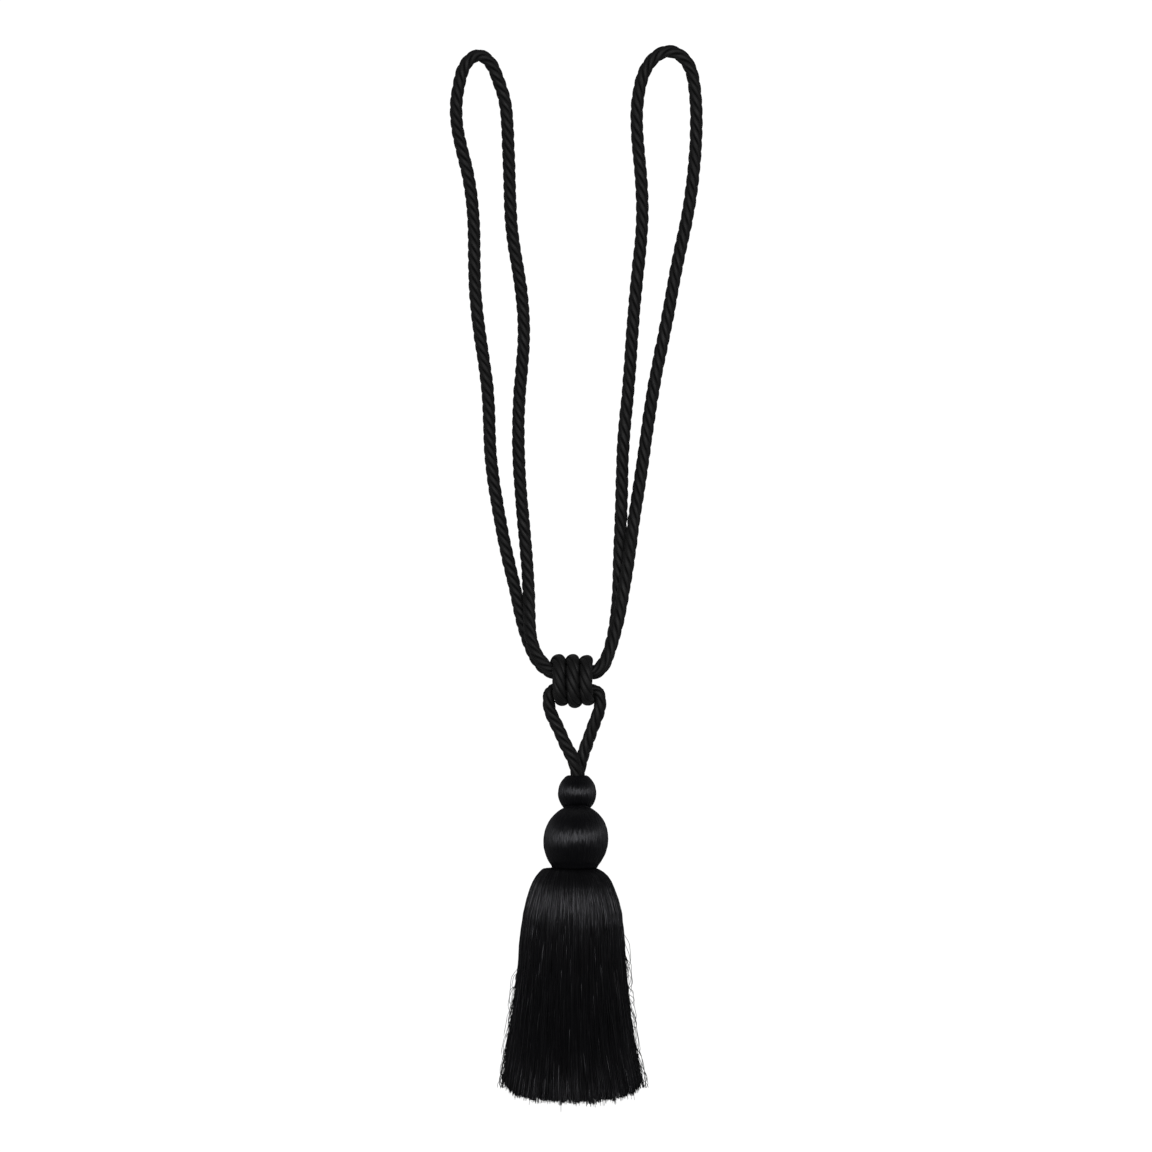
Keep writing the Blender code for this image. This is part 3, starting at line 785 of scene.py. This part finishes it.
# %% The bundle's outline
SKIRT_ROWS = (
    (0.0490, -0.0020, 0.0108, 0.0280, 0.0130, 2.0),
    (0.0476, -0.0020, 0.0122, 0.0300, 0.0105, 2.0),
    (0.0472, -0.0022, 0.0140, 0.0318, 0.0084, 2.0),
    (0.04715, -0.0028, 0.0172, 0.0332, 0.0060, 2.0),
    (0.0464, -0.0025, 0.0187, 0.0345, 0.0044, 2.0),
    (0.0442, -0.0018, 0.0215, 0.0363, 0.0022, 2.1),
    (0.0416, -0.0016, 0.0238, 0.0381, 0.0009, 2.2),
    (0.0384, -0.0015, 0.0257, 0.0396, 0.0, 2.3),
    (0.0330, -0.0015, 0.0279, 0.0411, 0.0, 2.3),
    (0.0250, -0.0012, 0.0305, 0.0426, 0.0, 2.3),
    (0.0160, -0.0013, 0.0323, 0.0430, 0.0, 2.4),
    (0.0, -0.0016, 0.0339, 0.0424, 0.0, 2.4),
    (-0.0200, -0.0018, 0.0352, 0.0404, 0.0, 2.4),
    (-0.0390, -0.0020, 0.0371, 0.0380, 0.0, 2.4),
    (-0.0650, -0.0020, 0.0407, 0.0340, 0.0, 2.4),
    (-0.0910, -0.0012, 0.0453, 0.0315, 0.0, 2.4),
    (-0.1080, -0.0008, 0.0470, 0.0312, 0.0, 2.4),
)
PRESSED_LEVEL = 0.0016


def skirt_place(y, share, angle):
    """Points of the bundle: share 0 is its middle and 1 its edge; 0 degrees faces +X."""
    rows = np.array(SKIRT_ROWS)[::-1]
    middle_x, half_width, top, underside, squareness = (
        np.interp(y, rows[:, 0], column) for column in rows.T[1:]
    )
    cosine, sine = np.cos(angle), np.sin(angle)
    reach = (np.abs(cosine) ** squareness + np.abs(sine) ** squareness) ** (1 / squareness)
    half_height = (top - underside) / 2
    pressed = np.where((underside == 0) & (sine < 0), PRESSED_LEVEL, 0.0)
    z = np.maximum((half_height + pressed) * sine / reach, -half_height)
    x = middle_x + share * half_width * cosine / reach
    return np.stack([x, y, (top + underside) / 2 + share * z], axis=-1)


# %% Even places round the bundle
HALFWAY_Y = -0.02
EDGE_READINGS = 721


def even_angles():
    """Shares of the way round the bundle's edge, halfway down, and their angles."""
    angle = np.linspace(0, 2 * math.pi, EDGE_READINGS)
    edge = skirt_place(np.full(EDGE_READINGS, HALFWAY_Y), 1.0, angle)
    travelled = travelled_along(edge)
    print(f"the skirt is {travelled[-1] * 1000:.0f} mm round, halfway down")
    return travelled / travelled[-1], angle


edge_shares, edge_angles = even_angles()

# %% [markdown]
# Yarn keeps some of the twist that it was spun with, so it gathers: higher up into locks that
# rise and dip together, and at the hem into small tufts. The shears meet each tuft a little
# differently: most are cut somewhat short of the trimmed arc, and a few hang below it.

# %% Locks and tufts
LOCKS = 150
USUAL_LOCK_RISE, MOST_LOCK_RISE = 0.00036, 0.0012
LOCK_WAVELENGTHS = (0.045, 0.090)
TUFTS = 180
TUFT_CUT_SHORT = 0.0020
USUAL_TUFT_EXTRA, MOST_TUFT_EXTRA = 0.0008, 0.0028
TUFT_PULLS = (0.05, 0.55)
BUNDLE_SEED = 30

bundle = np.random.default_rng(BUNDLE_SEED)
lock_size = np.minimum(bundle.exponential(USUAL_LOCK_RISE, LOCKS), MOST_LOCK_RISE)
lock_wavelength = bundle.uniform(*LOCK_WAVELENGTHS, LOCKS)
lock_phase = bundle.uniform(0, 2 * math.pi, LOCKS)
tuft_extra = np.minimum(bundle.exponential(USUAL_TUFT_EXTRA, TUFTS), MOST_TUFT_EXTRA)
tuft_cut = TUFT_CUT_SHORT - tuft_extra
tuft_curl = bundle.uniform(0, 1, TUFTS)
tuft_pull = bundle.uniform(*TUFT_PULLS, TUFTS)
print(f"{np.sum(tuft_cut < 0)} of {TUFTS} tufts hang below the trimmed arc")


def lock_rise(place, y):
    """How far the locks rise and dip: a wave of its own for each, blended with the next."""
    lock = np.floor(place * LOCKS).astype(int)
    blend = place * LOCKS - lock
    blend = blend * blend * (3 - 2 * blend)
    total = np.zeros_like(y)
    for number, share in ((lock % LOCKS, 1 - blend), ((lock + 1) % LOCKS, blend)):
        wave = np.sin(2 * math.pi * y / lock_wavelength[number] + lock_phase[number])
        total += share * lock_size[number] * wave
    return total


def tuft_of(place):
    """Which tuft each yarn belongs to, by its place round the bundle."""
    return np.floor(place * TUFTS).astype(int) % TUFTS


# %% [markdown]
# A yarn starts inside the foot of the ball, follows the shoulder and falls to the hem. The
# points along it lie close together on the shoulder, where it bends. The hem is an arc that
# turns up at its corners. A yarn hangs a little below its tuft's cut, and the yarns deep in the
# bundle are cut shorter, so that they don't fill the gaps between the tufts.

# %% From the neck to the hem
SHOULDER_STATIONS = (0.0488, 0.0473, 0.0470, 0.0462, 0.0446, 0.0422, 0.0388, 0.0340, 0.0270, 0.0180)
FALL_SHARES = (0.09, 0.19, 0.29, 0.39, 0.49, 0.59, 0.69, 0.79, 0.90, 1.0)
HEM_Y = -0.1044
HEM_RISE = 0.0070
HEM_CORNER, HEM_CORNER_SHARPNESS = 0.0090, 8
USUAL_YARN_EXTRA = 0.0006
DEEP_DEPTH, DEEP_CUT_SHORT = 0.9, 0.0024


def hem_height(side_share):
    """The trimmed arc, from the middle of the hem out to its corners."""
    corner = HEM_CORNER * np.abs(side_share) ** HEM_CORNER_SHARPNESS
    return HEM_Y + HEM_RISE * side_share**2 + corner


def yarn_heights(place, depth, generator):
    """Y at each station of each yarn, down to its own cut end."""
    angle_at_hem = np.interp(place, edge_shares, edge_angles)
    trimmed = hem_height(np.cos(angle_at_hem) * depth) + tuft_cut[tuft_of(place)]
    trimmed = trimmed - generator.exponential(USUAL_YARN_EXTRA, len(place))
    trimmed = trimmed + DEEP_CUT_SHORT * (depth < DEEP_DEPTH)
    last = SHOULDER_STATIONS[-1]
    fall = last + (trimmed - last)[:, None] * np.array(FALL_SHARES)
    shoulder = np.tile(SHOULDER_STATIONS, (len(place), 1))
    return np.concatenate([shoulder, fall], axis=1)


# %% [markdown]
# On its way down a yarn does three things, each by a formula in how far down it is. It sways to
# the side, most yarns hardly and a few a lot, and more and more towards the hem. It is drawn to
# the middle of its tuft, mostly near the hem. And it rises and dips among its neighbours, with
# its lock and by a wave of its own, in full from a seventh of the way down.

# %% Sway and gather
SWAYS = (
    # Wavelength, and reach in shares of the way round the bundle
    (0.16, 0.0022),
    (0.07, 0.0007),
)
TUFT_LATENESS = 4


def yarn_places(place, y, down, generator):
    """Where round the bundle each yarn is at each of its stations."""
    looseness = generator.exponential(1.0, (len(place), 1))
    sway = np.zeros_like(y)
    for wavelength, reach in SWAYS:
        phase = generator.uniform(0, 2 * math.pi, (len(place), 1))
        sway += reach * looseness * np.sin(2 * math.pi * y / wavelength + phase)
    tuft = tuft_of(place)
    tuft_middle = (tuft + 0.5) / TUFTS
    pull = tuft_pull[tuft][:, None] * down**TUFT_LATENESS
    return place[:, None] + sway * down + (tuft_middle - place)[:, None] * pull


# %% Rise and dip
YARN_WAVELENGTHS = (0.042, 0.075)
# A little more than a full turn
YARN_PHASES = (0, 7)
MOST_RISE = 0.0026
RISE_EARLINESS = 7
RISE_AT_SIDES = 0.2


def yarn_rise(where, y, down, steepness, usual_rise, generator):
    """How far each yarn stands out of the bundle, by its lock and by itself."""
    count = len(y)
    own_wave = generator.uniform(*YARN_WAVELENGTHS, (count, 1))
    own_rise = np.minimum(generator.exponential(usual_rise, (count, 1)), MOST_RISE)
    phase = generator.uniform(*YARN_PHASES, (count, 1))
    own_rise = own_rise * np.sin(2 * math.pi * y / own_wave + phase)
    rise = lock_rise(where % 1.0, y) + own_rise
    room = RISE_AT_SIDES + (1 - RISE_AT_SIDES) * steepness
    return rise * np.minimum(1.0, RISE_EARLINESS * down) * room


# %% [markdown]
# At the very end, cut yarn opens and curls up from the table: each tuft in its own degree, and
# a few yarns much more than the rest of their tuft. The ends then catch the light as short
# bright dashes just above the hem.

# %% Curl at the hem
HEM_CURL = 0.0034
TUFT_CURL_SHARE, YARN_CURL_SHARE = 0.4, 1.1
YARN_CURL_RARITY = 3
CURL_LATENESS = 10


def hem_curl(place, angle, down, generator):
    """How far each yarn's end curls up."""
    yarn_curl = generator.uniform(0, 1, len(place)) ** YARN_CURL_RARITY
    curl = TUFT_CURL_SHARE * tuft_curl[tuft_of(place)] + YARN_CURL_SHARE * yarn_curl
    return HEM_CURL * curl[:, None] * np.maximum(np.sin(angle), 0) * down**CURL_LATENESS


# %% [markdown]
# Three sides are enough for a thread half a millimetre thick, because shading rounds them off.
# Each tube is rolled by chance, so that the flats don't all face the same way.

# %% A tube round each yarn
YARN_SIDES = 3
END_THICKNESS = 0.55


def yarn_tubes(lines, thickness, generator):
    """Tubes round lines[yarn, station], which taper at their lower ends."""
    tangents = np.gradient(lines, axis=1)
    tangents /= np.linalg.norm(tangents, axis=2)[..., None]
    out = lines - lines.mean(axis=0)
    out[..., 1] = 0
    out -= tangents * (out * tangents).sum(axis=2)[..., None]
    out /= np.linalg.norm(out, axis=2)[..., None]
    across = np.cross(tangents, out)
    roll = generator.uniform(0, 2 * math.pi, (len(lines), 1, 1))
    corner = (roll + 2 * math.pi * np.arange(YARN_SIDES) / YARN_SIDES)[..., None]
    radius = np.full(lines.shape[:2], thickness / 2)
    radius[:, -1] *= END_THICKNESS
    offset = out[:, :, None] * np.cos(corner) + across[:, :, None] * np.sin(corner)
    return lines[:, :, None] + offset * radius[..., None, None]


# %% [markdown]
# Three dense layers make the bundle: fine yarns at its surface, more just under them, and
# thicker ones inside that only have to look full. A fourth layer has the loose yarns, which
# stand out by a millimetre or two and shine as single lines.

# %% Hang the yarns
FALL_FROM, FALL_LENGTH = 0.040, 0.145
SIDEWAYS_SHARE = 0.5
SKIRT_CORNER_WIDTH = 0.0004
SKIRT_LAYERS = (
    # Name, how many yarns, from and to which share, thickness, usual rise
    ("skirt_loose_yarns", 300, 0.985, 1.0, 0.00048, 0.00115),
    ("skirt_surface_yarns", 1700, 0.970, 1.0, 0.00046, 0.00014),
    ("skirt_outer_yarns", 1700, 0.935, 0.99, 0.00048, 0.00008),
    ("skirt_inner_yarns", 1700, 0.10, 0.94, 0.00095, 0.00008),
)
FIRST_LAYER_SEED = 30


def hang_yarns(count, layer_from, layer_to, thickness, usual_rise, seed):
    """Yarns at even places round the bundle, between two shares of its half size."""
    generator = np.random.default_rng(seed)
    place = (np.arange(count) + generator.uniform(-0.5, 0.5, count)) / count
    place = place[generator.permutation(count)]
    depth = np.sqrt(generator.uniform(layer_from**2, layer_to**2, count))
    y = yarn_heights(place, depth, generator)
    down = np.clip((FALL_FROM - y) / FALL_LENGTH, 0, 1)
    where = yarn_places(place, y, down, generator)
    angle = np.interp(where % 1.0, edge_shares, edge_angles)
    cosine, sine = np.cos(angle), np.sin(angle)

    rise = yarn_rise(where, y, down, np.abs(sine), usual_rise, generator)
    rise = rise + hem_curl(place, angle, down, generator)
    outward = np.stack([SIDEWAYS_SHARE * cosine, np.zeros_like(angle), sine], axis=-1)
    outward /= np.linalg.norm(outward, axis=-1, keepdims=True)
    lines = skirt_place(y, depth[:, None], angle) + rise[..., None] * outward
    lines[..., 2] = np.maximum(lines[..., 2], thickness / 2)
    return yarn_tubes(lines, thickness, generator)


skirt_pieces = []
for number, (name, *layer) in enumerate(SKIRT_LAYERS):
    tubes = hang_yarns(*layer, seed=FIRST_LAYER_SEED + number)
    yarns = skin(name, tubes, SKIRT_CORNER_WIDTH)
    stand_on_its_pole(yarns)
    skirt_pieces.append(yarns)

# %% [markdown]
# ## Stray fibres
#
# A handled tassel always has a few fibres that have sprung out of the bundle. They show as hairs
# along both sides, down to the corners of the hem. Each starts just inside the bundle's edge.
# Some bow out and come back to it, and some stand off more and more and end in the air. They are
# a little thinner than the yarns, so they get a mesh of their own.

# %% Pull out a few fibres
STRAY_THICKNESS = 0.00038
STRAY_SIDES = (
    # The side as an angle, how many fibres, between which Y they start, and how far they stand out
    (0.0, 120, (-0.090, 0.010), 0.0021),
    (math.pi, 120, (-0.085, -0.015), 0.0019),
)
STRAY_SPREAD = 0.5
STRAY_DEPTH = 0.985
STRAY_LENGTHS = (0.008, 0.035)
STRAYS_END_AT = -0.0955
LEAST_STRAY_LIFT, MOST_STRAY_LIFT = 0.0005, 0.0042
LOOSE_END_LATENESS = 1.5
STRAY_RIPPLE, STRAY_RIPPLES = 0.0003, (6, 14)
STRAY_STATIONS = 14
STRAYS_SEED = 41


def stray_fibre(side_angle, start_range, usual_lift, generator):
    """The middle line of one fibre on one side."""
    start = generator.uniform(*start_range)
    end = max(start - generator.uniform(*STRAY_LENGTHS), STRAYS_END_AT)
    bulge = generator.exponential(usual_lift) + LEAST_STRAY_LIFT
    loose = generator.uniform(0.0, 1.0)
    along = np.linspace(0, 1, STRAY_STATIONS)
    y = start + (end - start) * along
    angle = side_angle + generator.uniform(-STRAY_SPREAD, STRAY_SPREAD) + np.zeros_like(y)
    line = skirt_place(y, np.full_like(y, STRAY_DEPTH), angle)
    lift = bulge * (np.sin(math.pi * along) * (1 - loose) + along**LOOSE_END_LATENESS * loose)
    lift = np.minimum(lift, MOST_STRAY_LIFT)
    lift += STRAY_RIPPLE * np.sin(along * generator.uniform(*STRAY_RIPPLES)) * along
    line[:, 0] += lift * math.cos(side_angle)
    line[:, 2] = np.maximum(line[:, 2], STRAY_THICKNESS)
    return line


strays_generator = np.random.default_rng(STRAYS_SEED)
stray_lines = []
for side_angle, count, start_range, usual_lift in STRAY_SIDES:
    for _ in range(count):
        stray_lines.append(stray_fibre(side_angle, start_range, usual_lift, strays_generator))
stray_tubes = yarn_tubes(np.array(stray_lines), STRAY_THICKNESS, strays_generator)
strays = skin("skirt_stray_fibres", stray_tubes, STRAY_THICKNESS)
stand_on_its_pole(strays)

# %% [markdown]
# ## Shader maths in plain Python
#
# A finish is a small network of nodes, and most of it is arithmetic. Wrapping a socket in a
# class lets that arithmetic be written as it would be on paper: adding two wires adds a Math
# node. Python calls the reflected forms, such as `__rsub__`, when the number comes first. Every
# other kind of node comes from one method, which takes its type, its settings and its inputs.

# %% Wires and finishes


class Wire:
    """An output socket that can be used in sums and products of values."""

    def __init__(self, network, socket):
        self.network = network
        self.socket = socket

    def math(self, operation, first, second):
        return self.network.node("ShaderNodeMath", {"operation": operation}, {0: first, 1: second})

    def __add__(self, other):
        return self.math("ADD", self, other)

    def __radd__(self, other):
        return self.math("ADD", other, self)

    def __sub__(self, other):
        return self.math("SUBTRACT", self, other)

    def __rsub__(self, other):
        return self.math("SUBTRACT", other, self)

    def __mul__(self, other):
        return self.math("MULTIPLY", self, other)

    def __rmul__(self, other):
        return self.math("MULTIPLY", other, self)


class Network:
    """A node tree being made. Its node method adds any node: settings first, then inputs."""

    def __init__(self, owner, shader_name):
        owner.use_nodes = True
        self.tree = owner.node_tree
        self.shader = self.tree.nodes[shader_name]

    def feed(self, socket, value):
        if isinstance(value, Wire):
            self.tree.links.new(value.socket, socket)
        else:
            socket.default_value = value

    def node(self, kind, settings, inputs, output=0):
        made = self.tree.nodes.new(kind)
        for name, value in settings.items():
            setattr(made, name, value)
        for socket, value in inputs.items():
            self.feed(made.inputs[socket], value)
        return Wire(self, made.outputs[output])

    def set_shader(self, **values):
        for name, value in values.items():
            self.feed(self.shader.inputs[name.replace("_", " ")], value)


class Finish(Network):
    """A material and its nodes."""

    def __init__(self, name):
        self.material = bpy.data.materials.new(name)
        super().__init__(self.material, "Principled BSDF")


# %% [markdown]
# ## Black yarn
#
# Black satin yarn is not one black. Its filaments are glassy and lie side by side, so each one
# catches the light at its own moment. Two noises, stretched along the flat map of the yarn, make
# fine filaments and broader bands. Together they vary the colour a little, the broad one varies
# the gloss, and the fine one also works as relief.

# %% Streaks along the yarn
BROAD_WIDTH, BROAD_LENGTH = 6, 3
FINE_SHARE = 0.6
GLOSS_SPREAD = 0.34
RELIEF_HEIGHT = 0.0001


def streaks(finish, width, length):
    """Noise from 0 to 1 in streaks of that width and length, which run along the yarn."""
    place = finish.node("ShaderNodeUVMap", {"uv_map": MAP_NAME}, {})
    stretch = {0: place, 1: (1 / width, 1 / length, 0.0)}
    stretched = finish.node("ShaderNodeVectorMath", {"operation": "MULTIPLY"}, stretch)
    inputs = {"Vector": stretched, "Scale": 1.0, "Detail": 2.0, "Roughness": 0.6}
    return finish.node("ShaderNodeTexNoise", {"noise_dimensions": "2D"}, inputs)


def yarn_finish(name, blacks, gloss, filament, relief):
    """A finish for one kind of yarn.

    blacks are its darkest and lightest colour, gloss its usual roughness, and filament the
    width and length of its finest streaks in metres.
    """
    finish = Finish(name)
    width, length = filament
    fine = streaks(finish, width, length)
    broad = streaks(finish, width * BROAD_WIDTH, length * BROAD_LENGTH)
    mixed = fine * FINE_SHARE + broad * (1 - FINE_SHARE)
    darkest, lightest = blacks
    colour_inputs = {0: mixed, 6: (*darkest, 1.0), 7: (*lightest, 1.0)}
    colour = finish.node("ShaderNodeMix", {"data_type": "RGBA"}, colour_inputs, output=2)
    roughness = gloss + GLOSS_SPREAD * (broad - 0.5)
    height = {"Height": fine, "Strength": relief, "Distance": RELIEF_HEIGHT}
    bump = finish.node("ShaderNodeBump", {}, height)
    finish.set_shader(Base_Color=colour, Roughness=roughness, Normal=bump)
    return finish


# %% [markdown]
# Four finishes cover the object. The rope's yarn is hard and dull. The balls' satin yarn is the
# blackest and the shiniest, and its grain stretches the shine all the way across. The skirt's
# yarn is a little lighter, with a low, soft sheen. The loose yarns are the same yarn, but lie
# free of their neighbours, so they shine more.

# %% The yarn finishes
COOL_SHINE = (0.93, 0.93, 1.0, 1.0)
ROPE_BLACKS = ((0.003, 0.003, 0.0032), (0.007, 0.007, 0.0074))
BALL_BLACKS = ((0.0010, 0.0010, 0.0014), (0.0045, 0.0045, 0.0056))
SKIRT_BLACKS = ((0.0030, 0.0030, 0.0034), (0.0072, 0.0072, 0.0082))
SKIRT_FILAMENT = (0.00016, 0.02)

rope_finish = yarn_finish(
    "rope_yarn", ROPE_BLACKS, gloss=0.62, filament=(0.00014, 0.006), relief=0.5
)
rope_finish.set_shader(Specular_IOR_Level=0.32)
ball_finish = yarn_finish(
    "ball_yarn", BALL_BLACKS, gloss=0.50, filament=(0.0003, 0.010), relief=0.6
)
ball_finish.set_shader(Specular_IOR_Level=0.43, Specular_Tint=COOL_SHINE, Anisotropic=0.9)
skirt_finish = yarn_finish(
    "skirt_yarn", SKIRT_BLACKS, gloss=0.36, filament=SKIRT_FILAMENT, relief=0.4
)
skirt_finish.set_shader(Specular_IOR_Level=0.22, Specular_Tint=COOL_SHINE, Anisotropic=0.72)
loose_finish = yarn_finish(
    "loose_skirt_yarn", SKIRT_BLACKS, gloss=0.32, filament=SKIRT_FILAMENT, relief=0.4
)
loose_finish.set_shader(Specular_IOR_Level=0.65, Specular_Tint=COOL_SHINE, Anisotropic=0.72)
for finish in (rope_finish, ball_finish, skirt_finish, loose_finish):
    print(f"{finish.material.name}: {len(finish.tree.nodes)} nodes")

# %% [markdown]
# ## Fit the pieces to the frame
#
# Each piece rides on the frame's one body, takes the place of a solid, and gets its finish.

# %% Ride, replace and finish
PIECES = (
    (rope, "rope", "rope_yarn", rope_finish),
    (binding, "binding", "rope_yarn", rope_finish),
    (small_ball, "small_ball", "ball_yarn", ball_finish),
    (large_ball, "large_ball", "ball_yarn", ball_finish),
    (skirt_pieces[0], "skirt", "skirt_yarn", loose_finish),
    *((yarns, "skirt", "skirt_yarn", skirt_finish) for yarns in skirt_pieces[1:]),
    (strays, "skirt", "skirt_yarn", skirt_finish),
)
for piece, node, slot, finish in PIECES:
    piece.data.materials.append(finish.material)
    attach(piece, "root")
    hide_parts(node)

# %% [markdown]
# ## The table
#
# The picture has a white table, so bright that it has no edge and almost no shadow. A floor that
# glows an even white does that, and its own colour is dark, so that a shadow hardly changes it.
# But black yarn would mirror the glow on every side that faces the table and turn grey, so the
# table is hidden from reflections.

# %% Lay the table
TABLE_HALF = 6.0
TABLE_DROP = 0.0002
TABLE_COLOUR, TABLE_GLOW = (0.10, 0.10, 0.10, 1.0), (1.0, 1.0, 1.0, 1.0)

corners = [(-1, -1), (1, -1), (1, 1), (-1, 1)]
table_points = [(x * TABLE_HALF, y * TABLE_HALF, -TABLE_DROP) for x, y in corners]
table_mesh = bpy.data.meshes.new("table")
table_mesh.from_pydata(table_points, [], [(0, 1, 2, 3)])
table = bpy.data.objects.new("table", table_mesh)
bpy.context.collection.objects.link(table)
table_finish = Finish("white_table")
table_finish.set_shader(Base_Color=TABLE_COLOUR, Roughness=0.9, Specular_IOR_Level=0.1)
table_finish.set_shader(Emission_Color=TABLE_GLOW, Emission_Strength=1.0)
table_mesh.materials.append(table_finish.material)
table.visible_glossy = False
print(f"table {2 * TABLE_HALF:.0f} m wide, {TABLE_DROP * 1000:.1f} mm under the yarn")

# %% [markdown]
# ## The light
#
# One lamp hangs high over the rope and faces the tassel. It is wide along X and short along Y.
# The yarn reflects it as a band across each ball and across the skirt's shoulder, because its
# grain runs from pole to pole and spreads the reflection sideways. A lamp that is longer along Y
# would make those bands thicker.

# %% Hang the lamp
LAMP_WIDTH, LAMP_LENGTH = 2.2, 0.7
LAMP_WATTS = 33.0
LAMP_Y, LAMP_HEIGHT = 0.45, 2.2
TASSEL_Y = 0.07

lamp_data = bpy.data.lights.new("front_lamp", "AREA")
lamp_data.shape = "RECTANGLE"
lamp_data.size = LAMP_WIDTH
lamp_data.size_y = LAMP_LENGTH
lamp_data.energy = LAMP_WATTS
lamp = bpy.data.objects.new("front_lamp", lamp_data)
lamp.location = (0.0, LAMP_Y, LAMP_HEIGHT)
lamp_tilt = math.atan2(TASSEL_Y - LAMP_Y, LAMP_HEIGHT)
lamp.rotation_euler = (lamp_tilt, 0.0, 0.0)
lamp.visible_camera = False
bpy.context.collection.objects.link(lamp)
print(f"lamp tilted by {math.degrees(lamp_tilt):.0f} degrees")

# %% [markdown]
# The rest of the light comes from the air all round. It is weak from above, or the yarn would
# look grey. It is stronger from below the horizon, where the hidden table leaves a gap: the
# steep sides of rope and yarn mirror it as thin light rims. The Standard view then shows the
# white table as pure white, which a film-like view would dim.

# %% The air
AIR_ABOVE, MORE_AIR_BELOW = 0.06, 0.17

world = bpy.data.worlds.new("air")
air = Network(world, "Background")
direction = air.node("ShaderNodeTexCoord", {}, {})
height = air.node("ShaderNodeSeparateXYZ", {}, {0: direction}, output=2)
below = air.node("ShaderNodeMath", {"operation": "LESS_THAN"}, {0: height, 1: 0.0})
air.set_shader(Color=(1.0, 1.0, 1.0, 1.0), Strength=AIR_ABOVE + MORE_AIR_BELOW * below)
bpy.context.scene.world = world
bpy.context.scene.view_settings.view_transform = "Standard"
print(f"air {AIR_ABOVE} above the horizon and {AIR_ABOVE + MORE_AIR_BELOW:.2f} below it")
